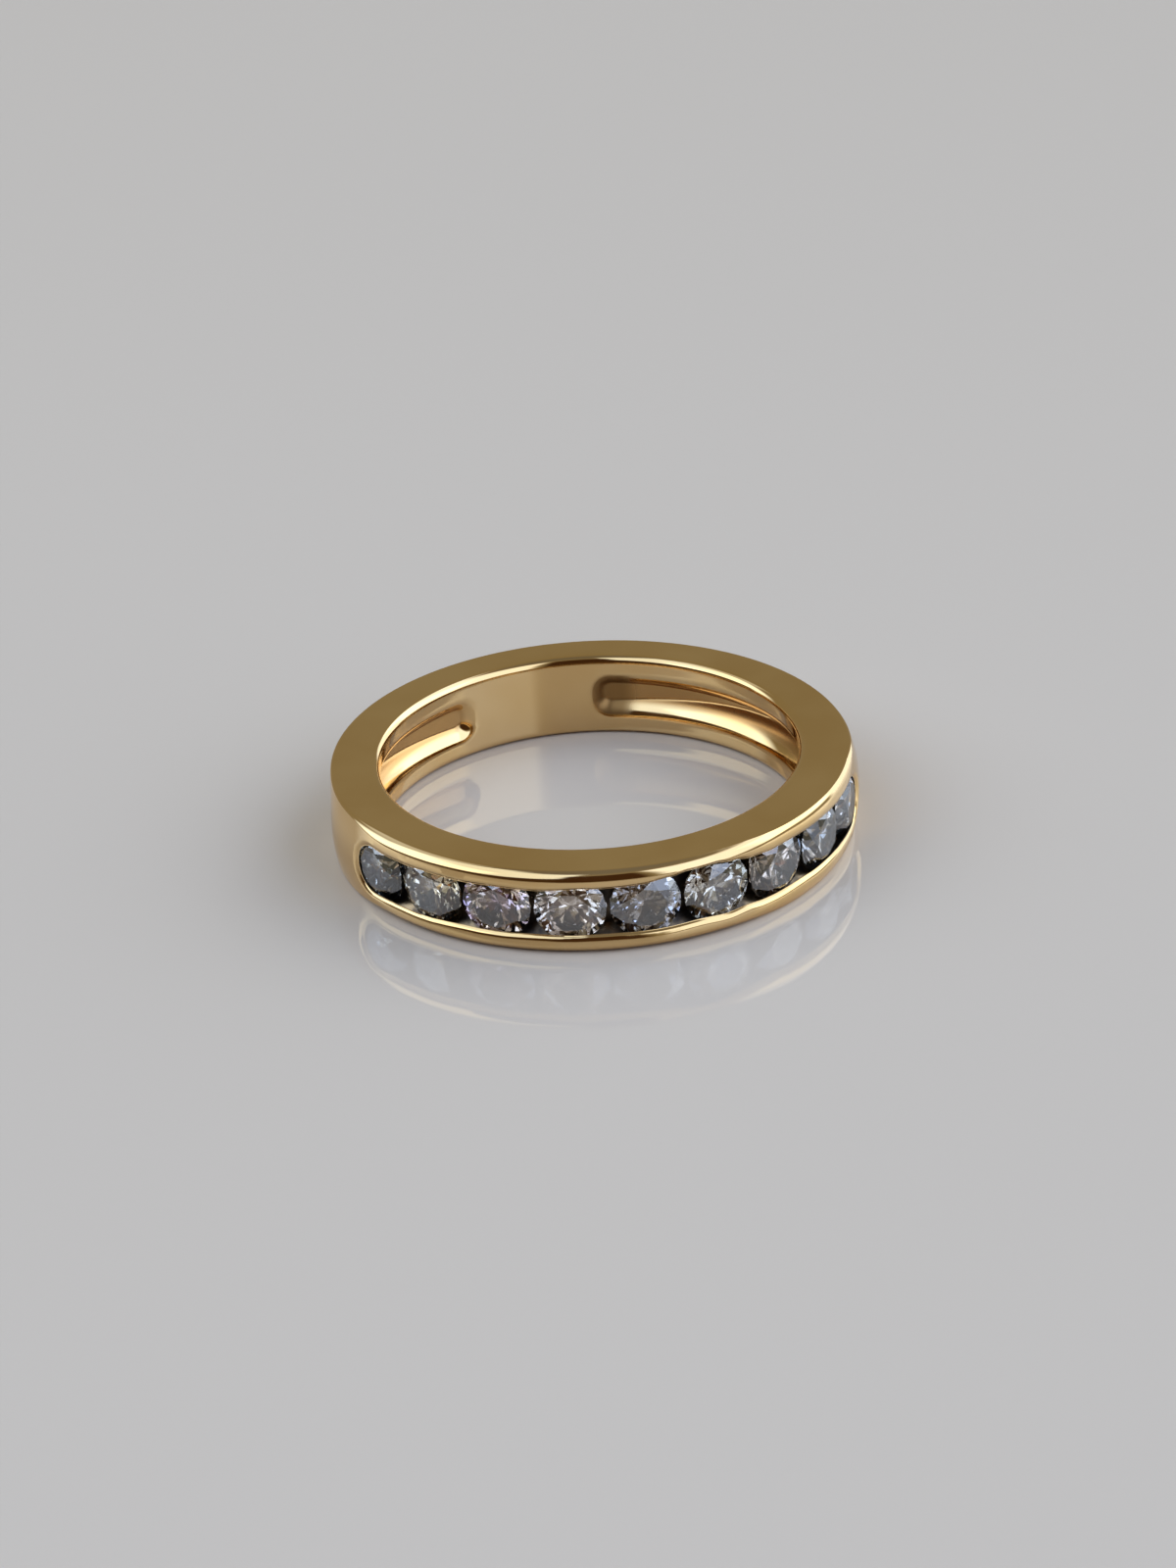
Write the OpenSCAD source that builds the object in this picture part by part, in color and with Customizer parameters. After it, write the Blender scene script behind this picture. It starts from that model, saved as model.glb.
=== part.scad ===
// Channel-set half-eternity ring with round brilliants.
// The bore runs along Z through the origin, at half the band's width, and the row of stones is centred on -Y.
// Lengths are in millimetres and angles in degrees. Angles along the row run from -Y towards +X.

/* [Finger] */
// Inside diameter of the ring
finger_d = 17.0; // [16.7:0.1:19]
// Rounding of the two edges next to the finger
inner_round = 0.34; // [0.1:0.02:0.4]

/* [Hoop] */
// Width of the band along the finger
band_w = 3.55; // [3.5:0.05:4]
// Thickness at the back, from bore to outer face
back_t = 1.73; // [1.7:0.01:1.9]
// How much thicker the band is at the middle of the row of stones
head_extra = 0.64; // [0.62:0.01:0.66]
// Rounding of the outer edges of the plain part
outer_round = 0.12; // [0.05:0.01:0.2]

/* [Rails] */
// Rounding of the outer edges beside the stones
rail_round = 0.41; // [0.2:0.01:0.41]
// Angle from the last stone's centre to where that rounding ends
rail_end_angle = 10.4; // [9.6:0.1:11]

/* [Stones] */
// Number of stones in the row
stone_count = 9; // [5:1:9]
// Diameter of a stone at its girdle
stone_d = 2.88; // [2.6:0.02:2.9]
// Angle from one stone to the next
stone_pitch = 16.5; // [16.5:0.1:17.2]
// How far the tables lie below the top of the rails
table_drop = 0.14; // [0.12:0.01:0.15]
// Width of the table, as a share of the diameter
table_share = 0.57; // [0.53:0.01:0.62]
// Height of the crown above the girdle, as a share of the diameter
crown_share = 0.145; // [0.14:0.005:0.16]
// Thickness of the girdle, as a share of the diameter
girdle_share = 0.03; // [0.02:0.005:0.035]
// Depth of the pavilion below the girdle, as a share of the diameter
pavilion_share = 0.44; // [0.425:0.005:0.44]
// How far the star facets reach from the table to the girdle
star_share = 0.5; // [0.45:0.01:0.55]
// How far the lower girdle facets reach from the girdle to the point
lower_share = 0.76; // [0.7:0.01:0.85]
// Turn of each stone about its own axis, more than the stone before it
spin_step = 29; // [0:1:44]

/* [Channel] */
// Opening between the two lips
channel_w = 2.14; // [2.12:0.02:2.2]
// Bevel along the outer edge of each lip
lip_bevel = 0.09; // [0.05:0.01:0.1]
// Height at which the lips clear the crown, as a share of the crown's height
lip_under = 0.77; // [0.76:0.01:0.85]
// Play between a stone's girdle and its seat
seat_play = 0.03; // [0.02:0.005:0.04]
// Metal left between the channel's floor and the trough
floor_t = 0.3; // [0.25:0.01:0.32]

/* [Trough] */
// Width of the hollow inside the hoop
trough_w = 2.0; // [1.6:0.05:2.1]
// Depth of the hollow
trough_depth = 0.95; // [0.9:0.01:0.98]
// Rounding where the hollow's walls meet its floor
trough_round = 0.35; // [0.1:0.05:0.5]
// Bevel along the hollow's edges
trough_bevel = 0.15; // [0.05:0.01:0.2]
// Half the angle of the stretch at the back that isn't hollowed
back_half_angle = 18.8; // [10:0.1:40]
// How far that stretch is turned from straight behind the stones
back_shift = 5.1; // [-10:0.1:10]
// How far the middle of that stretch is polished down from the two lands that the finger rests on
back_relief = 0.02; // [0.02:0.005:0.035]

/* [Hidden] */

bore_r = finger_d / 2;
// The outer face is one circle, moved towards the stones, so the band is thinnest at the back
outer_shift = head_extra / 2;
outer_r = bore_r + back_t + outer_shift;
rail_r = outer_r + outer_shift;

stone_r = stone_d / 2;
table_r = table_share * stone_r;
crown_h = crown_share * stone_d;
girdle_h = girdle_share * stone_d;
pavilion_h = pavilion_share * stone_d;
pavilion_slope = pavilion_h / stone_r;

// Distances from the bore's axis: the stones' girdles, the trough's floor and the channel's floor
girdle_top_at = rail_r - table_drop - crown_h;
girdle_low_at = girdle_top_at - girdle_h;
trough_at = bore_r + trough_depth;
floor_at = trough_at + floor_t;
// Half way through the metal under the channel
root_at = floor_at - floor_t / 2;

// Half widths of the channel: at the girdles, at its floor and between its lips
seat_half = stone_r + seat_play;
seat_low_at = girdle_low_at - seat_play;
floor_half = seat_half - (seat_low_at - floor_at) / pavilion_slope;
lip_half = channel_w / 2;

row_half = stone_pitch * (stone_count - 1) / 2;
rail_half = row_half + rail_end_angle;

// A round cut is this much smaller than the long one that it ends, so that no two faces only just touch
step = 0.005;
// How far a cut runs past the metal
over = 1;

// Angle of stone i, counted from 1 at the -X end of the row
function stone_angle(i) = (i - (stone_count + 1) / 2) * stone_pitch;

// A brilliant looks the same after an eighth of a turn
function stone_spin(i) = (i * spin_step) % (360 / 8);

// Turns a shape from -Y to angle a along the ring
module around(a) {
    rotate([0, 0, a]) children();
}

// Lays a shape that was made upright along the ring's radius at -Y, its top outwards
module outward() {
    rotate([90, 0, 0]) children();
}

// Revolves a profile drawn as [distance from the bore's axis, height] from angle a0 to a1 along the ring
module sweep(a0, a1) {
    rotate([0, 0, a0 - 90]) rotate_extrude(angle = a1 - a0, $fn = 180) children();
}

// Flips a flat shape that lies towards +X +Y so that it lies towards the signs sx and sy
module towards(sx, sy) {
    mirror([sx < 0 ? 1 : 0, 0]) mirror([0, sy < 0 ? 1 : 0]) children();
}

// What rounding takes off a square corner at the origin of a shape that lies towards +X +Y
module corner_loss(r) {
    difference() {
        translate([-step, -step]) square(r + step);
        translate([r, r]) circle(r, $fn = 48);
    }
}

// Profile between two distances from an axis, as wide as the band
module block(r0, r1) {
    translate([r0, -band_w / 2]) square([r1 - r0, band_w]);
}

// What rounding takes off both corners of that profile at distance x, where the metal lies towards sign sx
module edge_losses(x, sx, r) {
    for (s = [-1, 1])
        translate([x, s * band_w / 2]) towards(sx, -s) corner_loss(r);
}

// Full hoop with its nearly sharp outer edges, its bore still too small
module hoop() {
    translate([0, -outer_shift, 0])
        rotate_extrude($fn = 180)
            difference() {
                block(bore_r / 2, outer_r);
                edge_losses(outer_r, -1, outer_round);
            }
}

// What the rails' rounding takes off beside the stones. Its arc meets both faces in a faint edge.
module rail_losses() {
    arc_r = 1.5 * rail_round;
    // The arc's centre lies this far in from both faces, so that it meets them at rail_round from the corner
    centre = (rail_round + sqrt(2 * arc_r * arc_r - rail_round * rail_round)) / 2;
    translate([0, -outer_shift, 0]) sweep(-rail_half, rail_half)
        for (s = [-1, 1])
            translate([outer_r, s * band_w / 2]) towards(-1, -s)
                difference() {
                    translate([-over / 2, -over / 2]) square(rail_round + over / 2 + 2 * step);
                    translate([centre, centre]) circle(arc_r, $fn = 96);
                }
}

// The bore with the rounding of its two edges
module bore_cut() {
    rotate_extrude($fn = 180) {
        translate([0, -band_w / 2 - over]) square([bore_r, band_w + 2 * over]);
        edge_losses(bore_r, 1, inner_round);
    }
}

// Half outline of the space for the stones, each point as [distance from the bore's axis, half width]
function channel_half(ease) = [
    [floor_at, 0],
    [floor_at, floor_half - ease],
    [seat_low_at, seat_half - ease],
    [girdle_top_at + seat_play, seat_half - ease],
    [girdle_top_at + lip_under * crown_h, lip_half - ease],
    [rail_r - lip_bevel, lip_half - ease],
    [rail_r + step, lip_half - ease + lip_bevel + step],
    [rail_r + over, lip_half - ease + lip_bevel + step],
    [rail_r + over, 0]
];

// A half outline with its mirror image about the middle of the band
function both_sides(half) = concat(half, [for (k = [len(half) - 2 : -1 : 1]) [half[k][0], -half[k][1]]]);

// Channel from the first stone to the last, with its undercut lips
module channel_run() {
    sweep(-row_half, row_half) polygon(both_sides(channel_half(0)));
}

// Round end of the channel about the stone at angle a
module channel_end(a) {
    around(a) outward()
        rotate_extrude($fn = 96) polygon([for (p = channel_half(step)) [p[1], p[0]]]);
}

// Hole from the channel through to the trough, tapered as the pavilion over it is
module light_hole(a) {
    top = floor_at + 2 * step;
    low = root_at - floor_t;
    top_r = floor_half - step;
    around(a) outward()
        translate([0, 0, low])
            cylinder(h = top - low, r1 = top_r - (top - low) / pavilion_slope, r2 = top_r, $fn = 72);
}

// Outline of the trough with round corners at its floor and bevelled edges
module trough_profile(half_w, depth_at) {
    difference() {
        translate([bore_r - over, -half_w]) square([depth_at - bore_r + over, 2 * half_w]);
        for (s = [-1, 1])
            translate([depth_at, s * half_w]) towards(-1, -s) corner_loss(trough_round);
    }
    polygon([
        [bore_r - over, -half_w - trough_bevel - over],
        [bore_r + trough_bevel, -half_w],
        [bore_r + trough_bevel, half_w],
        [bore_r - over, half_w + trough_bevel + over]
    ]);
}

// Round end of the trough at angle a, its flat floor just clear of the curved one
module trough_end(a) {
    half_w = trough_w / 2 - step;
    sagitta = half_w * half_w / 2 / trough_at;
    around(a) outward()
        rotate_extrude($fn = 96)
            intersection() {
                translate([0, bore_r - trough_depth / 2]) square(2 * trough_depth);
                rotate(90) mirror([0, 1]) trough_profile(half_w, trough_at - sagitta);
            }
}

// Hollow inside the hoop, all the way round but for the plain stretch at the back
module trough() {
    inset = trough_w / 2 / bore_r * 180 / PI;
    first = back_shift + back_half_angle + inset - 180;
    last = back_shift - back_half_angle - inset + 180;
    sweep(first, last) trough_profile(trough_w / 2, trough_at);
    trough_end(first);
    trough_end(last);
    // The relief is a little narrower than the hollow's bevelled edges, and shows between the hollow's ends only
    relief_w = trough_w + trough_bevel - back_relief;
    cylinder(h = relief_w, r = bore_r + back_relief, center = true, $fn = 180);
}

module band() {
    color("goldenrod")
        difference() {
            hoop();
            bore_cut();
            rail_losses();
            channel_run();
            channel_end(-row_half);
            channel_end(row_half);
            trough();
            for (i = [1 : stone_count]) light_hole(stone_angle(i));
        }
}

// n points on a level circle of radius r at height h, the first at angle start
function circle_points(n, start, r, h) = [for (k = [0 : n - 1]) [
    r * cos(start + k * 360 / n),
    r * sin(start + k * 360 / n),
    h
]];

// Round brilliant, table up, with the middle of its girdle at height 0
module brilliant() {
    half = 180 / 8;
    top = girdle_h / 2;
    // The kites' slope sets the height of the crown's middle corners, and the mains' slope that of the lower ones
    table_edge = table_r * cos(half);
    mid_r = table_edge + star_share * (stone_r - table_edge);
    mid_h = top + (stone_r - mid_r * cos(half)) * crown_h / (stone_r - table_r);
    low_r = stone_r * (1 - lower_share) / cos(half);
    low_h = -top - pavilion_h * lower_share;
    points = concat(
        circle_points(8, 0, table_r, top + crown_h),
        circle_points(8, half, mid_r, mid_h),
        circle_points(16, 0, stone_r, top),
        circle_points(16, 0, stone_r, -top),
        circle_points(8, half, low_r, low_h),
        [[0, 0, -top - pavilion_h]]
    );
    // Where each circle starts in the list of points
    table = 0;
    mid = 8;
    upper = 16;
    lower = 32;
    low = 48;
    culet = 56;
    faces = concat(
        [[for (k = [7 : -1 : 0]) table + k]],
        [for (k = [0 : 7]) [table + k, table + (k + 1) % 8, mid + k]],
        [for (k = [0 : 7]) [table + k, mid + k, upper + 2 * k, mid + (k + 7) % 8]],
        [for (k = [0 : 7]) [mid + k, upper + 2 * k + 1, upper + 2 * k]],
        [for (k = [0 : 7]) [mid + k, upper + (2 * k + 2) % 16, upper + 2 * k + 1]],
        [for (k = [0 : 15]) [upper + k, upper + (k + 1) % 16, lower + (k + 1) % 16, lower + k]],
        [for (k = [0 : 7]) [low + k, lower + 2 * k, lower + 2 * k + 1]],
        [for (k = [0 : 7]) [low + k, lower + 2 * k + 1, lower + (2 * k + 2) % 16]],
        [for (k = [0 : 7]) [culet, low + (k + 7) % 8, lower + 2 * k, low + k]]
    );
    polyhedron(points = points, faces = faces, convexity = 2);
}

module diamond(i) {
    color("gainsboro")
        around(stone_angle(i)) outward()
            translate([0, 0, (girdle_top_at + girdle_low_at) / 2]) rotate(stone_spin(i)) brilliant();
}

band();
for (i = [1 : stone_count]) {
    diamond(i);
}
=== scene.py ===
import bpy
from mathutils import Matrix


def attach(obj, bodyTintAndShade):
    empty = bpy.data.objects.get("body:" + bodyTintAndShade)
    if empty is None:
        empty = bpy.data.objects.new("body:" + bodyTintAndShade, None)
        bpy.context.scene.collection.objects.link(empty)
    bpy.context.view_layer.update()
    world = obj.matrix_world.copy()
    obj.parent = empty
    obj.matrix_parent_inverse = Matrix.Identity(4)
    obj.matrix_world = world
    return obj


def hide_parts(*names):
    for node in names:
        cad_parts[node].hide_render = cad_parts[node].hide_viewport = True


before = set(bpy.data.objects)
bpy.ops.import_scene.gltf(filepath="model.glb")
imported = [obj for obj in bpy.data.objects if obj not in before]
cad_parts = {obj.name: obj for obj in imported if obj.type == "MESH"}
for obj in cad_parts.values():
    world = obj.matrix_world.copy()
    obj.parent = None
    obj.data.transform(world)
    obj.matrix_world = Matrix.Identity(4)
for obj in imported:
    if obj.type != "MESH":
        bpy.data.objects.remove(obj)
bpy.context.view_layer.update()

import math
import bpy
import bmesh
from mathutils import Matrix, Vector

scene = bpy.context.scene
milli = 0.001  # sections and trees below are drawn in millimetres

# The ring lies on its side. Its bore runs along Z, the row of stones faces -Y,
# and angles round the ring run from -Y towards +X.

cameraValues = {
    "lens": 135.0,
    "sensor": 36.0,  # along the long side
    "elevation": 26.92,
    "turn": 10.5,  # how far the ring is turned past the line of sight
    "roll": -3.16,
    "distance": 238.85,
    "aimHeight": -0.04,
    "aimPixel": (603.1, 805.0),
    "imageSize": (1200, 1600),
}


def makeCamera(v):
    pitch, turn, roll = (math.radians(v[k]) for k in ("elevation", "turn", "roll"))
    ahead = Vector((math.sin(turn) * math.cos(pitch), math.cos(turn) * math.cos(pitch), -math.sin(pitch)))
    level = Vector((math.cos(turn), -math.sin(turn), 0))
    upright = level.cross(ahead)
    right = math.cos(roll) * level + math.sin(roll) * upright
    up = -math.sin(roll) * level + math.cos(roll) * upright
    wide, tall = v["imageSize"]
    focal = v["lens"] / v["sensor"] * max(wide, tall)
    x = (v["aimPixel"][0] - wide / 2) / focal
    y = -(v["aimPixel"][1] - tall / 2) / focal
    place = Vector((0, 0, v["aimHeight"])) - (ahead + x * right + y * up) * v["distance"]
    data = bpy.data.cameras.new("camera")
    data.lens, data.sensor_width = v["lens"], v["sensor"]
    data.clip_start, data.clip_end = 0.01, 20
    camera = bpy.data.objects.new("camera", data)
    scene.collection.objects.link(camera)
    camera.matrix_world = Matrix.Translation(place * milli) @ Matrix((right, up, -ahead)).transposed().to_4x4()
    scene.camera = camera


makeCamera(cameraValues)
print("camera placed")


# Small helpers for node trees: a value may be a number, a colour or another node's output

def feed(tree, socket, value):
    if isinstance(value, bpy.types.NodeSocket):
        tree.links.new(value, socket)
    elif value is not None:
        socket.default_value = value


def addNode(tree, kind, values=(), **settings):
    node = tree.nodes.new(kind)
    for name, value in settings.items():
        setattr(node, name, value)
    for key, value in values.items() if isinstance(values, dict) else enumerate(values):
        feed(tree, node.inputs[key], value)
    return node


def calc(tree, operation, *values):
    return addNode(tree, "ShaderNodeMath", values, operation=operation).outputs[0]


def plus(tree, first, second):
    return calc(tree, "ADD", first, second)


def minus(tree, first, second):
    return calc(tree, "SUBTRACT", first, second)


def times(tree, first, second):
    return calc(tree, "MULTIPLY", first, second)


def hypotenuse(tree, first, second):
    return calc(tree, "SQRT", plus(tree, times(tree, first, first), times(tree, second, second)))


def ease(tree, value, low, high, toLow=0.0, toHigh=1.0):
    values = (value, low, high, toLow, toHigh)
    return addNode(tree, "ShaderNodeMapRange", values, interpolation_type="SMOOTHSTEP").outputs[0]


def splitVector(tree, vector):
    return addNode(tree, "ShaderNodeSeparateXYZ", (vector,)).outputs


def joinVector(tree, x, y, z):
    return addNode(tree, "ShaderNodeCombineXYZ", (x, y, z)).outputs[0]


# A geometry tree with one named input for each entry of values, and what runs it to a plain mesh

def newTree(name, values):
    tree = bpy.data.node_groups.new(name, "GeometryNodeTree")
    for label, value in values.items():
        kind = "NodeSocketInt" if isinstance(value, int) else "NodeSocketFloat"
        if isinstance(value, bpy.types.ID):
            kind = "NodeSocketMaterial" if isinstance(value, bpy.types.Material) else "NodeSocketObject"
        tree.interface.new_socket(name=label, in_out="INPUT", socket_type=kind)
    tree.interface.new_socket(name="Geometry", in_out="OUTPUT", socket_type="NodeSocketGeometry")
    return tree, tree.nodes.new("NodeGroupInput").outputs


def runTree(name, tree, result, values):
    addNode(tree, "NodeGroupOutput", (result,))
    carrier = bpy.data.objects.new(name + "Tree", bpy.data.meshes.new(name + "Tree"))
    scene.collection.objects.link(carrier)
    modifier = carrier.modifiers.new("tree", "NODES")
    modifier.node_group = tree
    for item in tree.interface.items_tree:
        if item.in_out == "INPUT":
            modifier[item.identifier] = values[item.name]
    depsgraph = bpy.context.evaluated_depsgraph_get()
    mesh = bpy.data.meshes.new_from_object(carrier.evaluated_get(depsgraph))
    mesh.name = name
    bpy.data.objects.remove(carrier)  # its modifier goes with it
    piece = bpy.data.objects.new(name, mesh)
    scene.collection.objects.link(piece)
    return piece


def pointList(name, points):
    holder = bpy.data.objects.new(name, bpy.data.meshes.new(name))
    holder.data.from_pydata(points, [], [])
    return holder


def sampleList(tree, holder, index):
    geometry = addNode(tree, "GeometryNodeObjectInfo", {"Object": holder}).outputs["Geometry"]
    place = addNode(tree, "GeometryNodeInputPosition").outputs[0]
    values = {"Geometry": geometry, "Value": place, "Index": index}
    return addNode(tree, "GeometryNodeSampleIndex", values, data_type="FLOAT_VECTOR").outputs[0]


def mixPoints(tree, share, first, second):
    node = addNode(tree, "ShaderNodeMix", data_type="VECTOR")
    for key, value in ((0, share), (4, first), (5, second)):
        feed(tree, node.inputs[key], value)
    return node.outputs[1]


# A flat grid of steps, with the row and column of each of its points
def numberedGrid(tree, rows, columns):
    grid = addNode(tree, "GeometryNodeMeshGrid", (1.0, 1.0, rows, columns)).outputs[0]
    index = addNode(tree, "GeometryNodeInputIndex").outputs[0]
    row = calc(tree, "FLOOR", calc(tree, "DIVIDE", plus(tree, index, 0.5), columns))
    column = minus(tree, index, times(tree, row, columns))
    return grid, row, column


# Materials

goldValues = {
    "deep": (0.71, 0.475, 0.205),
    "pale": (0.79, 0.555, 0.27),
    "cloudScale": 160.0,
    "cloudRange": (0.35, 0.65),
    "polish": 0.05,  # roughness where the wheel reached
    "haze": 0.14,  # roughness in the dull patches
    "wearScale": 900.0,
    "wearRange": (0.4, 0.75),
    "scratchDepth": 0.012,
    "scratchStrength": 0.05,
    "scratchScale": 14000.0,
    "scratchLength": 0.0006,  # the smaller, the longer the scratches run round the ring
    # the hollow inside is left rough as it was cast, and its colour is darkened as painted shade, from one distance
    # from the bore's axis to the next
    "hollowShadeTone": (0.50, 0.29, 0.11),
    "hollowRough": 0.24,
    "hollowFrom": 8.72,
    "hollowTo": 8.95,
    "hollowEnd": 9.7,
    "hollowHeight": 1.2,
    "hollowFade": 0.1,
    # painted shade in the right hand end of the hollow: its colour is darkened and it is rougher there
    "endShadeTone": (0.33, 0.19, 0.07),
    "endShadeRough": 0.42,
    "endShadeFrom": 154.0,
    "endShadeTo": 160.0,
    "endShadeLow": 8.505,
    "endShadeHigh": 8.56,
}
# the walls of the channel and holes: gold darkened by dirt in blotches and by painted shade under the stones
channelGoldValues = {
    "dirtyShade": (0.07, 0.06, 0.055),
    "cleanerShade": (0.30, 0.22, 0.13),
    "dirtAndShadeScale": 1200.0,
    "dirtAndShadeRange": (0.35, 0.7),
    "dirtyShadeRough": 0.45,
    "cleanerShadeRough": 0.25,
}


def newMaterial(name):
    material = bpy.data.materials.new(name)
    material.use_nodes = True
    tree = material.node_tree
    tree.nodes.clear()
    shader = tree.nodes.new("ShaderNodeBsdfPrincipled")
    output = tree.nodes.new("ShaderNodeOutputMaterial")
    tree.links.new(shader.outputs[0], output.inputs["Surface"])
    place = addNode(tree, "ShaderNodeTexCoord").outputs["Object"]
    return material, tree, shader, place


def noise(tree, place, scale, detail=2.0, roughness=0.5, seed=0.0):
    values = {"Vector": place, "Scale": scale, "Detail": detail, "Roughness": roughness, "W": seed}
    return addNode(tree, "ShaderNodeTexNoise", values, noise_dimensions="4D").outputs["Fac"]


def blend(tree, share, first, second):
    node = addNode(tree, "ShaderNodeMix", data_type="RGBA")
    for key, value in ((0, share), (6, first), (7, second)):
        feed(tree, node.inputs[key], value)
    return node.outputs[2]


def polishedGold(v):
    material, tree, shader, place = newMaterial("polishedGold")
    x, y, z = splitVector(tree, place)
    reach = hypotenuse(tree, x, y)
    angle = calc(tree, "ARCTAN2", x, times(tree, y, -1.0))

    # where the hollow lies, and the painted shade at its right hand end
    low, high = v["hollowHeight"] * milli, (v["hollowHeight"] + v["hollowFade"]) * milli
    between = ease(tree, calc(tree, "ABSOLUTE", z), low, high, 1.0, 0.0)
    between = times(tree, between, calc(tree, "LESS_THAN", reach, v["hollowEnd"] * milli))
    within = times(tree, between, ease(tree, reach, v["hollowFrom"] * milli, v["hollowTo"] * milli))
    # painted shade: darkens the right hand end of the hollow
    endShade = ease(tree, calc(tree, "DEGREES", angle), v["endShadeFrom"], v["endShadeTo"])
    endShade = times(tree, endShade, ease(tree, reach, v["endShadeLow"] * milli, v["endShadeHigh"] * milli))
    endShade = times(tree, endShade, between)

    cloud = ease(tree, noise(tree, place, v["cloudScale"], 3.0), *v["cloudRange"])
    tone = blend(tree, cloud, (*v["deep"], 1), (*v["pale"], 1))
    # painted shade: the colour inside the hollow is darkened
    tone = blend(tree, within, tone, (*v["hollowShadeTone"], 1))
    feed(tree, shader.inputs["Base Color"], blend(tree, endShade, tone, (*v["endShadeTone"], 1)))
    shader.inputs["Metallic"].default_value = 1.0
    patches = noise(tree, place, v["wearScale"], 4.0, 0.6)
    wear = ease(tree, patches, *v["wearRange"], v["polish"], v["haze"])
    wear = ease(tree, within, 0.0, 1.0, wear, v["hollowRough"])
    feed(tree, shader.inputs["Roughness"], ease(tree, endShade, 0.0, 1.0, wear, v["endShadeRough"]))

    # fine lines left by the polishing wheel
    around = times(tree, angle, v["scratchLength"])
    lines = noise(tree, joinVector(tree, reach, around, z), v["scratchScale"], 2.0)
    values = {"Strength": v["scratchStrength"], "Distance": v["scratchDepth"] * milli, "Height": lines}
    feed(tree, shader.inputs["Normal"], addNode(tree, "ShaderNodeBump", values).outputs[0])
    return material


# Dark rough gold for the walls under the stones, darkened by dirt blotches and by painted shade
def channelGold(v):
    material, tree, shader, place = newMaterial("channelGold")
    cleanerShade = ease(tree, noise(tree, place, v["dirtAndShadeScale"], 3.0), *v["dirtAndShadeRange"])
    feed(tree, shader.inputs["Base Color"], blend(tree, cleanerShade, (*v["dirtyShade"], 1), (*v["cleanerShade"], 1)))
    shader.inputs["Metallic"].default_value = 1.0
    feed(tree, shader.inputs["Roughness"], ease(tree, cleanerShade, 0.0, 1.0, v["dirtyShadeRough"], v["cleanerShadeRough"]))
    return material


goldFinish = polishedGold(goldValues)
channelFinish = channelGold(channelGoldValues)
print("gold finishes made")


# The band

seamGap = 0.0005  # points of a rolled-up grid that are closer than this are one
cutGap = 0.0002  # and so are points that the cutting left this close
wallSlack = 0.0001  # counts a point as one of the bore's wall

bandValues = {
    "boreRadius": 8.5,
    "outerRadius": 10.55,
    "outerShift": 0.32,  # how far the outer face's centre lies towards the stones
    "width": 3.55,
    "innerRound": 0.34,
    "outerRound": 0.12,
    "railRound": 0.36,
    "railFlatness": 1.5,  # 1 rounds the rails off smoothly, more leaves a faint edge
    "railHalfAngle": 68.0,
    "railFade": 16.0,  # degrees over which the rails' rounding runs out
    "railLeft": 0.85,  # share of the rounding up to the first angle, and all of it from the second on
    "railLeftFrom": -45.0,
    "railLeftTo": -25.0,
    # to the right the rounding is cut off by the flat side in a crisp edge
    "crispWide": 0.12,
    "crispTall": 0.38,
    "crispFrom": 12.0,
    "crispTo": 36.0,
    "crestRadius": 10.89,  # half way up, the outer face bulges out to here beside the stones
    "crestStart": 80.0,
    "crestEnd": 100.0,  # and is back at its own circle here
    "edgeHold": 0.02,  # a narrow strip beside the rounding that keeps the flat side's shading flat
    "hollowHalfWidth": 1.12,
    "hollowDepth": 0.95,
    "hollowEndDepth": 0.4,
    "hollowEndRun": 60.0,  # degrees over which it reaches its full depth
    "hollowShoulder": 0.6,  # radius of the rounding along its edges
    "hollowBlend": 0.12,  # over how much depth the rounding runs into the floor
    "hollowCorner": 1.0,  # radius of the outline's corners
    "hollowHalfAngle": 164.0,
    "hollowShift": 5.1,  # how far its middle is turned from the middle of the row
    "softUpTo": 32.0,  # edges that bend more stay hard
    "aroundSteps": 540,
    "outerSteps": 6,
    "roundSteps": 12,
    "sideSteps": 3,
    "innerSteps": 34,
}
channelValues = {
    "floor": 9.75,
    "floorHalfWidth": 0.963,
    "seatLow": 10.196,
    "seatHigh": 10.40,
    "seatHalfWidth": 1.47,
    "lipLow": 10.70,
    "lipHalfWidth": 1.05,
    "lipRound": 0.28,
    "lipRoundAngle": 70,
    "lipRoundSteps": 6,
    "lipUneven": 0.012,  # how far the pressed-down lips wander
    "lipPatternScale": 1.1,
    "lipPatternStep": 3.0,  # how far apart in the pattern the two lips lie
    "lipSeed": 3.0,
    "lipWave": 0.015,  # how much further they reach between two stones
    # how far the opening's upper and lower edges stand out from the plain width, by angle
    "upperLip": [(-70, -0.07), (-48, -0.09), (-23, -0.09), (-11, -0.02), (-1, -0.02), (5, 0.12), (9, 0.24),
                 (15, 0.25), (20, 0.12), (25, 0.0), (30, -0.07), (40, 0.0), (50, -0.05), (70, -0.03)],
    "lowerLip": [(-70, -0.02), (-50, -0.03), (-40, -0.07), (-20, -0.07), (5, -0.05), (12, -0.09), (18, -0.04),
                 (23, -0.09), (27, -0.04), (37, -0.09), (44, -0.05), (50, -0.08), (58, -0.04), (70, -0.03)],
    "rowHalfAngle": 66.0,
    "pitch": 16.5,
    "stones": 9,
    "runSteps": 224,
    "endSteps": 24,
    "holeSides": 48,
    "holeTopRadius": 0.958,
    "holeLowRadius": 0.186,
    "holeTop": 9.76,
    "holeLow": 9.08,
}


def arcPoints(middle, radius, start, end, steps):
    angles = (math.radians(start + (end - start) * k / steps) for k in range(steps + 1))
    return [(middle[0] + radius * math.cos(t), middle[1] + radius * math.sin(t)) for t in angles]


def linePoints(first, last, steps):
    return [tuple(a + (b - a) * k / steps for a, b in zip(first, last)) for k in range(steps + 1)]


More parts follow.
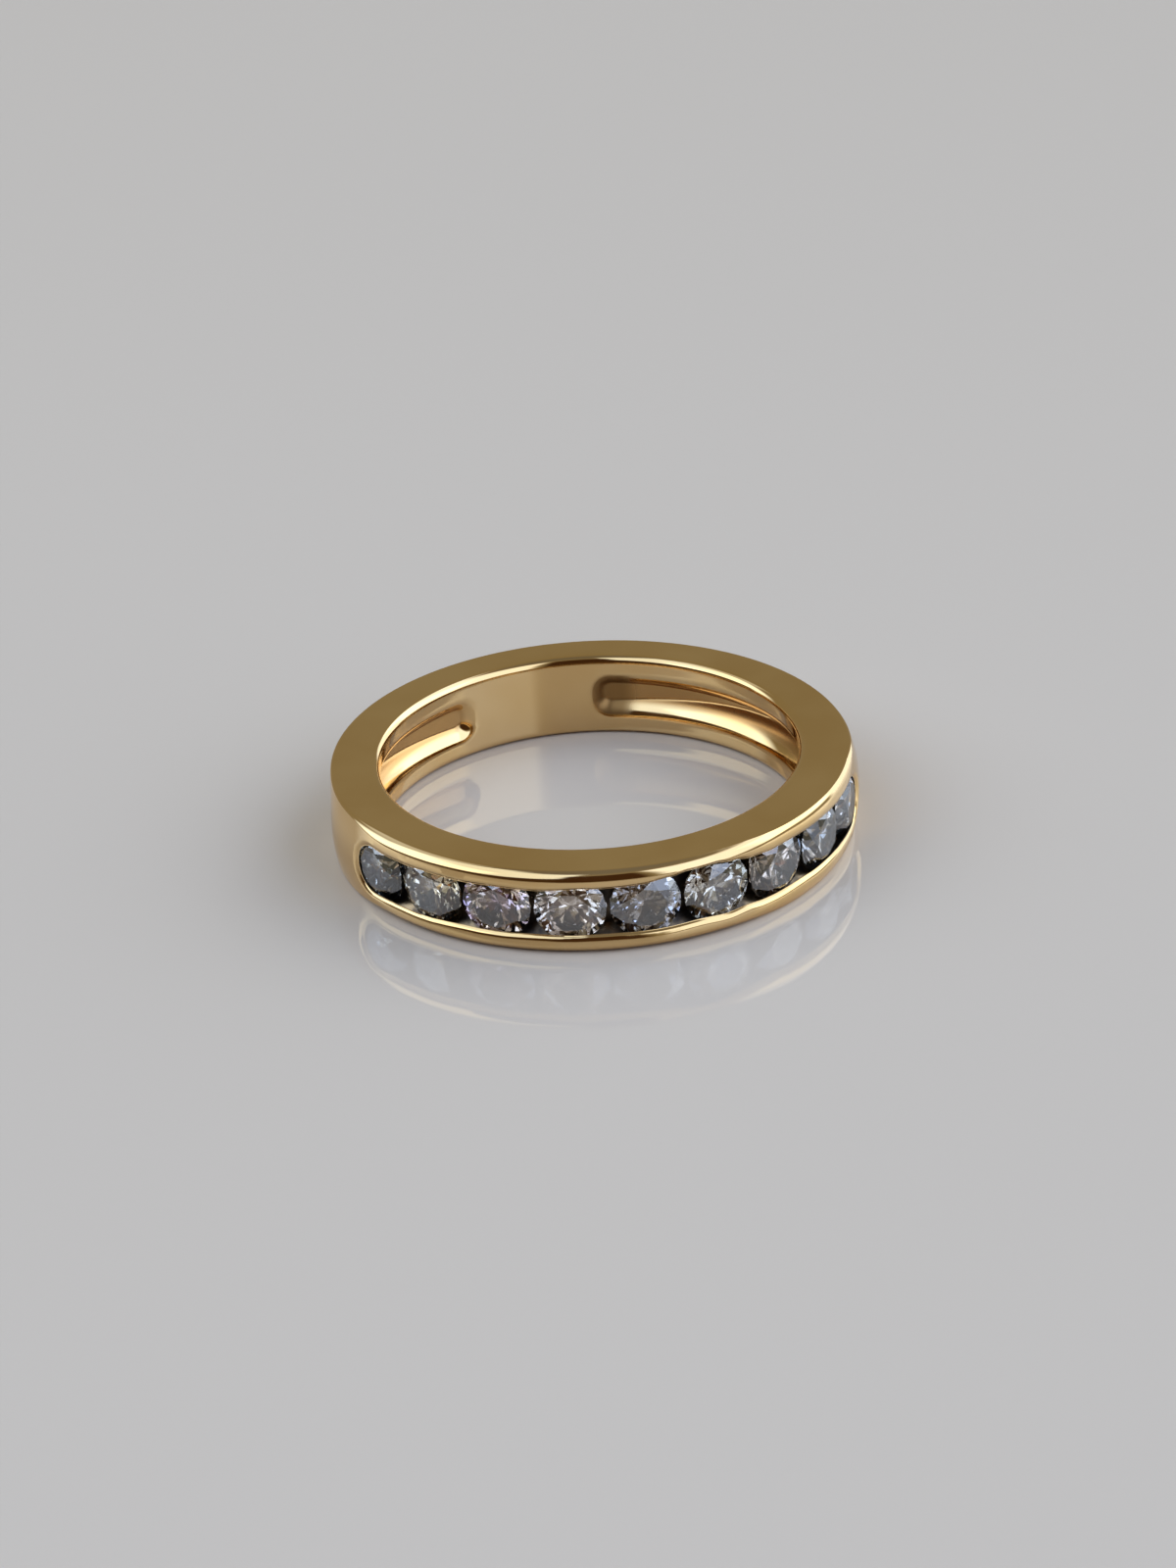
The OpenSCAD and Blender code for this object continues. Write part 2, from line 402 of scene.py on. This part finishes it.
# The rounding between the outer face and the flat side, with a faint edge to both where it is flattened
def evenCorner(v, rounding, flatness):
    radius = rounding * flatness
    middle = (rounding + math.sqrt(2 * radius ** 2 - rounding ** 2)) / 2
    lean = math.degrees(math.asin((middle - rounding) / radius))
    place = (v["outerRadius"] - middle, v["width"] / 2 - middle)
    return arcPoints(place, radius, lean, 90 - lean, v["roundSteps"])


# The same where the flat side cuts it off
def crispCorner(v):
    wide, tall = v["crispWide"], v["crispTall"]
    radius = (wide ** 2 + tall ** 2) / 2 / wide
    middle = (v["outerRadius"] - radius, v["width"] / 2 - tall)
    return arcPoints(middle, radius, 0, math.degrees(math.asin(tall / radius)), v["roundSteps"])


# Once round the band's section, as (distance from the bore's axis, height, share of the outer face's shift)
def bandSection(v, outerCorner):
    half, bore, inner, outer = v["width"] / 2, v["boreRadius"], v["innerRound"], v["outerRadius"]
    corner, side, hold, n = outerCorner[0][1], outerCorner[-1][0], v["edgeHold"], v["roundSteps"]
    outside = linePoints((outer, 0), (outer, corner - hold), v["outerSteps"]) + outerCorner + [(side - hold, half)]
    across = linePoints((side - hold, half), (bore + inner, half), v["sideSteps"])[1:-1]
    inside = arcPoints((bore + inner, half - inner), inner, 90, 180, n)
    inside += linePoints((bore, half - inner), (bore, 0), v["innerSteps"])[1:]
    upper = [(x, z, 1) for x, z in outside]
    upper += [(x, z, 1 - (k + 1) / v["sideSteps"]) for k, (x, z) in enumerate(across)]
    upper += [(x, z, 0) for x, z in inside]
    return upper + [(x, -z, share) for x, z, share in reversed(upper[:-1])]


# Half the channel's section, as (distance from the axis, half width, 1 where the lips are uneven or 2 where
# they follow the outer face as well)
def channelSection(v, outer):
    low, top = (v["lipLow"], v["lipHalfWidth"]), outer - v["lipRound"]
    middle = (top, low[1] + v["lipRound"])
    rounded = arcPoints(middle, v["lipRound"], -90, -90 + v["lipRoundAngle"], v["lipRoundSteps"])
    lean = math.tan(math.radians(v["lipRoundAngle"]))
    past, outermost = outer + v["lipRound"] / 2, outer + 1
    wide = rounded[-1][1] + (past - rounded[-1][0]) * lean
    points = [(v["floor"], 0, 0), (v["floor"], v["floorHalfWidth"], 0), (v["seatLow"], v["seatHalfWidth"], 0),
              (v["seatHigh"], v["seatHalfWidth"], 0), (*low, 1)]
    points += [(x, z, 2) for x, z in rounded]
    return points + [(past, wide, 2), (outermost, wide, 2), (outermost, 0, 2)]


# Once round the channel seen from outside, as (angle round the ring, share along it, share up)
def channelPath(v):
    row = math.radians(v["rowHalfAngle"])
    points = []
    for side in (1, -1):
        steps = v["runSteps"]
        points += [(side * (row - 2 * row * k / steps), 0, side) for k in range(steps)]
        for k in range(v["endSteps"]):
            turn = math.pi * k / v["endSteps"]
            points.append((-side * row, -side * math.sin(turn), side * math.cos(turn)))
    return points + [points[0]]


# How far the lips stand out at each point of that path
def lipLine(v, path):
    points = []
    for angle, _, up in path:
        pair = []
        for table in (v["upperLip"], v["lowerLip"]):
            spot = min(max(math.degrees(angle), table[0][0]), table[-1][0])
            k = max(j for j, row in enumerate(table[:-1]) if row[0] <= spot)
            (first, low), (last, high) = table[k:k + 2]
            pair.append(low + (high - low) * (1 - math.cos(math.pi * (spot - first) / (last - first))) / 2)
        points.append(((pair[0] * (1 + up) + pair[1] * (1 - up)) / 2, 0, 0))
    return points


# How much further out the outer face lies at an angle than its own radius
def outerGrowth(tree, given, angle):
    sideways = times(tree, given["Outer shift"], calc(tree, "SINE", angle))
    square = minus(tree, calc(tree, "POWER", given["Outer radius"], 2.0), times(tree, sideways, sideways))
    ahead = times(tree, given["Outer shift"], calc(tree, "COSINE", angle))
    return minus(tree, plus(tree, ahead, calc(tree, "SQRT", square)), given["Outer radius"])


# How far the outer face bulges out at an angle and a height
def crestGrowth(tree, given, angle, height):
    own = plus(tree, given["Outer radius"], outerGrowth(tree, given, angle))
    bulge = calc(tree, "MAXIMUM", minus(tree, given["Crest radius"], own), 0.0)
    share = ease(tree, calc(tree, "ABSOLUTE", angle), given["Crest start"], given["Crest end"], 1.0, 0.0)
    level = calc(tree, "DIVIDE", height, given["Half width"])
    level = calc(tree, "MAXIMUM", minus(tree, 1.0, times(tree, level, level)), 0.0)
    return times(tree, times(tree, bulge, share), level)


def moveTo(tree, geometry, place):
    return addNode(tree, "GeometryNodeSetPosition", {"Geometry": geometry, "Position": place}).outputs[0]


# Closes the seams of a rolled-up grid
def mergePoints(tree, geometry):
    values = {"Geometry": geometry, "Distance": seamGap}
    return addNode(tree, "GeometryNodeMergeByDistance", values).outputs[0]


# Notes on a cutter's faces whether what they cut stays unpolished and darkened with painted shade
def markDullShaded(tree, geometry, value):
    values = {"Geometry": geometry, "Name": "insideChannel", "Value": value}
    settings = {"data_type": "FLOAT", "domain": "FACE"}
    return addNode(tree, "GeometryNodeStoreNamedAttribute", values, **settings).outputs[0]


# How deep the hollow is at an angle and a height. Its outline has round corners, and it gets deeper inwards.
def hollowDepth(tree, given, angle, height):
    along = calc(tree, "ABSOLUTE", minus(tree, angle, given["Hollow shift"]))
    corner, bore = given["Hollow corner"], given["Bore radius"]
    straight = minus(tree, times(tree, given["Hollow half angle"], bore), corner)
    endward = minus(tree, times(tree, along, bore), straight)
    sideward = minus(tree, calc(tree, "ABSOLUTE", height), minus(tree, given["Hollow half width"], corner))
    pastEnd, pastSide = (calc(tree, "MAXIMUM", way, 0.0) for way in (endward, sideward))
    off = plus(tree, hypotenuse(tree, pastEnd, pastSide),
               calc(tree, "MINIMUM", calc(tree, "MAXIMUM", endward, sideward), 0.0))
    inside = calc(tree, "MAXIMUM", minus(tree, corner, off), 0.0)
    slope = calc(tree, "DIVIDE", times(tree, inside, inside), times(tree, given["Hollow shoulder"], 2.0))
    full = minus(tree, given["Hollow half angle"], given["Hollow end run"])
    deepest = ease(tree, along, full, given["Hollow half angle"], given["Hollow depth"], given["Hollow end depth"])
    return calc(tree, "MAXIMUM", calc(tree, "SMOOTH_MIN", slope, deepest, given["Hollow blend"]), 0.0)


# The whole ring without its channel
def growRing(tree, given):
    rows = plus(tree, given["Steps round the ring"], 1.0)
    grid, row, column = numberedGrid(tree, rows, given["Section points"])
    share = calc(tree, "DIVIDE", row, given["Steps round the ring"])
    angle = times(tree, minus(tree, share, 0.5), 2 * math.pi)
    plain, rail, crisp = (sampleList(tree, given[name + " section"], column) for name in ("Plain", "Rail", "Crisp"))

    halfFade = times(tree, given["Rail fade"], 0.5)
    fadeStart = minus(tree, given["Rail half angle"], halfFade)
    fadeEnd = plus(tree, given["Rail half angle"], halfFade)
    rounded = ease(tree, calc(tree, "ABSOLUTE", angle), fadeStart, fadeEnd, 1.0, 0.0)
    leftShare = ease(tree, angle, given["Rail left from"], given["Rail left to"], given["Rail left"], 1.0)
    crispShare = ease(tree, angle, given["Crisp from"], given["Crisp to"])
    point = mixPoints(tree, crispShare, rail, crisp)
    point = mixPoints(tree, times(tree, rounded, leftShare), plain, point)
    distance, height, follow = splitVector(tree, point)
    growth = plus(tree, outerGrowth(tree, given, angle), crestGrowth(tree, given, angle, height))
    distance = plus(tree, distance, times(tree, follow, growth))

    onWall = calc(tree, "LESS_THAN", distance, plus(tree, given["Bore radius"], wallSlack))
    distance = plus(tree, distance, times(tree, hollowDepth(tree, given, angle, height), onWall))

    x = times(tree, distance, calc(tree, "SINE", angle))
    y = times(tree, times(tree, distance, -1.0), calc(tree, "COSINE", angle))
    ring = mergePoints(tree, moveTo(tree, grid, joinVector(tree, x, y, height)))
    return addNode(tree, "GeometryNodeSetMaterial", {"Geometry": ring, "Material": given["Gold"]}).outputs[0]


# How much wider than its section the channel is at each point of its path
def lipWander(tree, given, row, spot, up):
    across, upwards = times(tree, spot, given["Outer radius"]), times(tree, up, given["Lip pattern step"])
    place = joinVector(tree, across, upwards, 0.0)
    wander = minus(tree, noise(tree, place, given["Lip pattern scale"], 2.0, 0.5, given["Lip seed"]), 0.5)
    # the noise seldom leaves the middle half of its range
    wander = times(tree, wander, times(tree, given["Lip unevenness"], 4.0))
    wave = calc(tree, "COSINE", times(tree, calc(tree, "DIVIDE", spot, given["Stone pitch"]), 2 * math.pi))
    wander = plus(tree, wander, times(tree, wave, given["Lip wave"]))
    standOut, _, _ = splitVector(tree, sampleList(tree, given["Lip line"], row))
    return plus(tree, wander, standOut)


# What is cut out for the stones
def growChannel(tree, given):
    grid, row, column = numberedGrid(tree, given["Channel path points"], given["Channel section points"])
    spot, along, up = splitVector(tree, sampleList(tree, given["Channel path"], row))
    distance, half, kind = splitVector(tree, sampleList(tree, given["Channel section"], column))
    uneven = calc(tree, "MINIMUM", kind, 1.0)
    follow = calc(tree, "MAXIMUM", minus(tree, kind, 1.0), 0.0)
    half = plus(tree, half, times(tree, lipWander(tree, given, row, spot, up), uneven))
    side = times(tree, half, along)

    # the lips' outer part follows the ring's outer face
    turned = plus(tree, spot, calc(tree, "DIVIDE", side, given["Outer radius"]))
    face = plus(tree, given["Outer radius"], outerGrowth(tree, given, turned))
    face = calc(tree, "SQRT", minus(tree, times(tree, face, face), times(tree, side, side)))
    grown = minus(tree, face, given["Outer radius"])
    grown = plus(tree, grown, crestGrowth(tree, given, turned, times(tree, half, up)))
    distance = plus(tree, distance, times(tree, follow, grown))
    distance = calc(tree, "MAXIMUM", distance, times(tree, given["Lip low"], follow))

    outX, outY = calc(tree, "SINE", spot), times(tree, calc(tree, "COSINE", spot), -1.0)
    x = minus(tree, times(tree, outX, distance), times(tree, outY, side))
    y = plus(tree, times(tree, outY, distance), times(tree, outX, side))
    cutter = moveTo(tree, grid, joinVector(tree, x, y, times(tree, half, up)))
    # the lips are polished, and what lies under them is not and is darkened with painted shade
    settings = {"data_type": "FLOAT", "domain": "POINT"}
    kind = addNode(tree, "GeometryNodeFieldOnDomain", {"Value": kind}, **settings).outputs[0]
    return mergePoints(tree, markDullShaded(tree, cutter, calc(tree, "LESS_THAN", kind, 1.25)))


# A tapered hole under every stone
def growHoles(tree, given):
    values = {"Vertices": given["Hole sides"], "Radius Top": given["Hole top radius"],
              "Radius Bottom": given["Hole low radius"], "Depth": minus(tree, given["Hole top"], given["Hole low"])}
    cone = addNode(tree, "GeometryNodeMeshCone", values).outputs[0]
    points = addNode(tree, "GeometryNodePoints", {"Count": given["Stones"]}).outputs[0]
    index = addNode(tree, "GeometryNodeInputIndex").outputs[0]
    centre = calc(tree, "DIVIDE", minus(tree, given["Stones"], 1.0), 2.0)
    spot = times(tree, minus(tree, index, centre), given["Stone pitch"])
    outwards = joinVector(tree, calc(tree, "SINE", spot), times(tree, calc(tree, "COSINE", spot), -1.0), 0.0)
    values = {"Vector": outwards, "Scale": given["Hole low"]}
    place = addNode(tree, "ShaderNodeVectorMath", values, operation="SCALE").outputs[0]
    facing = addNode(tree, "FunctionNodeAlignRotationToVector", {"Vector": outwards}, axis="Z").outputs[0]
    values = {"Points": moveTo(tree, points, place), "Instance": cone, "Rotation": facing}
    holes = addNode(tree, "GeometryNodeInstanceOnPoints", values).outputs[0]
    return markDullShaded(tree, addNode(tree, "GeometryNodeRealizeInstances", (holes,)).outputs[0], 1.0)


# Soft shading but for edges sharper than an angle
def shadeSoftly(tree, geometry, largest):
    bend = addNode(tree, "GeometryNodeInputMeshEdgeAngle").outputs[0]
    soft = calc(tree, "LESS_THAN", bend, math.radians(largest))
    for value, domain in ((True, "FACE"), (soft, "EDGE")):
        values = {"Geometry": geometry, "Shade Smooth": value}
        geometry = addNode(tree, "GeometryNodeSetShadeSmooth", values, domain=domain).outputs[0]
    return geometry


def buildBand(v, c):
    lists = {
        "Plain section": bandSection(v, evenCorner(v, v["outerRound"], 1.0)),
        "Rail section": bandSection(v, evenCorner(v, v["railRound"], v["railFlatness"])),
        "Crisp section": bandSection(v, crispCorner(v)),
        "Channel section": channelSection(c, v["outerRadius"]),
        "Channel path": channelPath(c),
        "Lip line": lipLine(c, channelPath(c)),
    }
    holders = {name: pointList(name, points) for name, points in lists.items()}
    values = {
        **holders,
        "Steps round the ring": v["aroundSteps"],
        "Section points": len(lists["Plain section"]),
        "Channel section points": len(lists["Channel section"]),
        "Channel path points": len(lists["Channel path"]),
        "Bore radius": v["boreRadius"],
        "Outer radius": v["outerRadius"],
        "Outer shift": v["outerShift"],
        "Rail half angle": math.radians(v["railHalfAngle"]),
        "Rail fade": math.radians(v["railFade"]),
        "Rail left": v["railLeft"],
        "Rail left from": math.radians(v["railLeftFrom"]),
        "Rail left to": math.radians(v["railLeftTo"]),
        "Crisp from": math.radians(v["crispFrom"]),
        "Crisp to": math.radians(v["crispTo"]),
        "Crest radius": v["crestRadius"],
        "Crest start": math.radians(v["crestStart"]),
        "Crest end": math.radians(v["crestEnd"]),
        "Half width": v["width"] / 2,
        "Hollow half angle": math.radians(v["hollowHalfAngle"]),
        "Hollow shift": math.radians(v["hollowShift"]),
        "Hollow half width": v["hollowHalfWidth"],
        "Hollow depth": v["hollowDepth"],
        "Hollow end depth": v["hollowEndDepth"],
        "Hollow end run": math.radians(v["hollowEndRun"]),
        "Hollow shoulder": v["hollowShoulder"],
        "Hollow blend": v["hollowBlend"],
        "Hollow corner": v["hollowCorner"],
        "Lip unevenness": c["lipUneven"],
        "Lip wave": c["lipWave"],
        "Lip seed": c["lipSeed"],
        "Lip pattern scale": c["lipPatternScale"],
        "Lip pattern step": c["lipPatternStep"],
        "Lip low": c["lipLow"],
        "Stone pitch": math.radians(c["pitch"]),
        "Stones": c["stones"],
        "Hole sides": c["holeSides"],
        "Hole top radius": c["holeTopRadius"],
        "Hole low radius": c["holeLowRadius"],
        "Hole top": c["holeTop"],
        "Hole low": c["holeLow"],
        "Gold": goldFinish,
        "Channel gold": channelFinish,
        "Scale": milli,
    }
    tree, given = newTree("bandTree", values)
    cutting = addNode(tree, "GeometryNodeMeshBoolean", operation="DIFFERENCE", solver="EXACT")
    feed(tree, cutting.inputs[0], growRing(tree, given))
    for cutter in (growChannel(tree, given), growHoles(tree, given)):
        feed(tree, cutting.inputs[1], cutter)
    whole = shadeSoftly(tree, cutting.outputs[0], v["softUpTo"])
    size = joinVector(tree, given["Scale"], given["Scale"], given["Scale"])
    whole = addNode(tree, "GeometryNodeTransform", {"Geometry": whole, "Scale": size}).outputs[0]
    whole = addNode(tree, "GeometryNodeRealizeInstances", (whole,)).outputs[0]
    # what the cutters cut gets the dark channel gold, painted shade under the stones
    mark = addNode(tree, "GeometryNodeInputNamedAttribute", {"Name": "insideChannel"}, data_type="FLOAT").outputs[0]
    dullAndShaded = calc(tree, "GREATER_THAN", mark, 0.5)
    finish = {"Geometry": whole, "Selection": dullAndShaded, "Material": given["Channel gold"]}
    whole = addNode(tree, "GeometryNodeSetMaterial", finish).outputs[0]
    band = runTree("channelBand", tree, whole, values)
    for holder in holders.values():
        bpy.data.objects.remove(holder)
    return band


# Merges the points that the cutting left double, turns the faces outwards and drops the empty material slot
def cleanCut(piece):
    mesh = piece.data
    while mesh.materials and mesh.materials[0] is None:
        mesh.materials.pop(index=0)
    work = bmesh.new()
    work.from_mesh(mesh)
    bmesh.ops.remove_doubles(work, verts=work.verts, dist=cutGap * milli)
    bmesh.ops.dissolve_degenerate(work, edges=work.edges, dist=cutGap * milli)
    bmesh.ops.recalc_face_normals(work, faces=work.faces)
    openEdges = sum(not edge.is_manifold for edge in work.edges)
    volume = work.calc_volume(signed=True) * 1e9
    work.to_mesh(mesh)
    work.free()
    print(piece.name, len(mesh.polygons), "faces", round(volume, 1), "mm3", openEdges, "open edges")


band = buildBand(bandValues, channelValues)
cleanCut(band)
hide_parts("band")
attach(band, "root")
print("band made")


# The stones keep their exact CAD facets and get a new finish, with painted shade and painted glints in random
# facets

diamondValues = {
    "bending": 2.417,
    "clearness": 0.98,  # the rest is the film on a worn stone
    "gleam": 0.3,
    "cellScale": 2300.0,
    "shade": (0.22, 0.17, 0.12),  # painted shade: how much light the darkest random facets let through, in place of dark reflections
    "shadeRange": (0.25, 0.6),
    "glintRange": (0.62, 0.72),
    # one stone a line, from the left end of the row: its body, its tint together with painted shade that darkens
    # some stones, and the painted coloured glints of its odd facets
    "castsAndShades": [
        ((0.98, 1.00, 0.92), (0.66, 0.80, 1.00)),
        ((1.00, 0.92, 0.70), (0.95, 0.93, 0.90)),
        ((1.00, 0.84, 0.68), (0.80, 0.62, 0.90)),
        ((0.98, 0.86, 0.78), (0.98, 0.88, 0.74)),
        ((0.50, 0.44, 0.38), (0.62, 0.70, 0.90)),
        ((0.68, 0.64, 0.54), (0.90, 0.92, 0.92)),
        ((0.64, 0.59, 0.53), (0.92, 0.76, 0.60)),
        ((0.68, 0.64, 0.54), (0.62, 0.76, 1.00)),
        ((1.00, 1.00, 1.00), (0.72, 0.86, 1.00)),
    ],
}


def diamondFinish(name, v, bodyTintAndShade, oddGlint):
    material, tree, shader, place = newMaterial(name)
    cells = addNode(tree, "ShaderNodeTexVoronoi", {"Vector": place, "Scale": v["cellScale"], "Randomness": 1.0})
    pick, shade, _ = splitVector(tree, cells.outputs["Color"])
    paintedDark = [share * part for share, part in zip(v["shade"], bodyTintAndShade)]
    # painted glints: random odd facets take a coloured cast, as painted reflections
    tone = blend(tree, ease(tree, pick, *v["glintRange"]), (*bodyTintAndShade, 1), (*oddGlint, 1))
    # painted shade: random facets are darkened
    tone = blend(tree, ease(tree, shade, *v["shadeRange"]), (*paintedDark, 1), tone)
    feed(tree, shader.inputs["Base Color"], tone)
    shader.inputs["Transmission Weight"].default_value = v["clearness"]
    shader.inputs["IOR"].default_value = v["bending"]
    shader.inputs["Specular IOR Level"].default_value = v["gleam"]
    shader.inputs["Roughness"].default_value = 0.0
    return material


for k, (bodyTintAndShade, oddGlint) in enumerate(diamondValues["castsAndShades"], 1):
    finish = diamondFinish("cutDiamond%d" % k, diamondValues, bodyTintAndShade, oddGlint)
    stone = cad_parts["diamond_%d" % k]
    stone.data.materials.clear()
    stone.data.materials.append(finish)
print("stones finished")


# Floor and light

floorValues = {
    "height": -1.775,
    "half": 1500,
    "tone": (0.60, 0.53, 0.455),
    "gloss": 0.045,
    "cloudScale": 9.0,
    "cloudShare": 0.015,
}


def makeFloor(v):
    mesh = bpy.data.meshes.new("floor")
    h, z = v["half"] * milli, v["height"] * milli
    mesh.from_pydata([(-h, -h, z), (h, -h, z), (h, h, z), (-h, h, z)], [], [(0, 1, 2, 3)])
    floor = bpy.data.objects.new("floor", mesh)
    scene.collection.objects.link(floor)
    material, tree, shader, place = newMaterial("glossyFloor")
    cloud = noise(tree, place, v["cloudScale"], 2.0)
    darker, paler = ([part * (1 + sign * v["cloudShare"]) for part in v["tone"]] for sign in (-1, 1))
    feed(tree, shader.inputs["Base Color"], blend(tree, cloud, (*darker, 1), (*paler, 1)))
    shader.inputs["Roughness"].default_value = v["gloss"]
    mesh.materials.append(material)


makeFloor(floorValues)

# Bearings are degrees to the right of the way to the camera, and heights are degrees above the horizon
roomValues = {
    "wall": (0.295, 0.27, 0.195),
    "ceiling": (0.20, 0.20, 0.20),
    "ceilingFrom": 55.0,
    "ceilingTo": 80.0,
    # name, bearings from and to, lower and upper height, rise of the upper edge for each degree to the right,
    # width of the soft edges, colour
    "panels": [
        ("left window", -116, -14, 6, 74, 0.0, 8, (1.25, 1.52, 2.0)),
        ("high left", -142, -116, 40, 66, 0.0, 8, (0.7, 0.78, 0.9)),
        ("right window", 28, 146, 8, 62, 0.0, 8, (1.5, 1.75, 2.3)),
        ("right glow", 72, 146, 7, 44, 0.0, 8, (2.5, 2.8, 3.2)),
        ("left glow", -110, -52, 10, 50, 0.0, 8, (2.1, 2.4, 2.8)),
        ("right sky", 118, 150, -10, 22, 0.0, 6, (1.55, 1.8, 2.2)),
        ("dark left", -100, -12, 3, 12, 0.36, 6, (0.07, 0.04, 0.02)),
        ("dark middle", -18, 22, 3, 60, 0.0, 7, (0.06, 0.03, 0.014)),
    ],
}


def makeRoom(v):
    world = bpy.data.worlds.new("room")
    world.use_nodes = True
    tree = world.node_tree
    tree.nodes.clear()
    way = addNode(tree, "ShaderNodeTexCoord").outputs["Generated"]
    way = addNode(tree, "ShaderNodeVectorMath", (way,), operation="NORMALIZE").outputs[0]
    x, y, z = splitVector(tree, way)
    bearing = calc(tree, "DEGREES", calc(tree, "ARCTAN2", x, times(tree, y, -1.0)))
    bearing = calc(tree, "WRAP", plus(tree, bearing, cameraValues["turn"]), 180.0, -180.0)
    rise = calc(tree, "DEGREES", calc(tree, "ARCSINE", z))
    overhead = ease(tree, rise, v["ceilingFrom"], v["ceilingTo"])
    colour = blend(tree, overhead, (*v["wall"], 1), (*v["ceiling"], 1))
    for _, left, right, low, high, lean, soft, tone in v["panels"]:
        edge = soft / 2
        leant = plus(tree, rise, times(tree, minus(tree, bearing, left), -lean))
        share = 1.0
        for value, start in ((bearing, left), (rise, low)):
            share = times(tree, share, ease(tree, value, start - edge, start + edge))
        for value, end in ((bearing, right), (leant, high)):
            share = times(tree, share, ease(tree, value, end - edge, end + edge, 1.0, 0.0))
        colour = blend(tree, share, colour, (*tone, 1))
    background = addNode(tree, "ShaderNodeBackground", (colour, 1.0)).outputs[0]
    addNode(tree, "ShaderNodeOutputWorld", (background,))
    scene.world = world


makeRoom(roomValues)
scene.view_settings.view_transform = "Standard"
scene.view_settings.look = "None"
print("floor and room made")
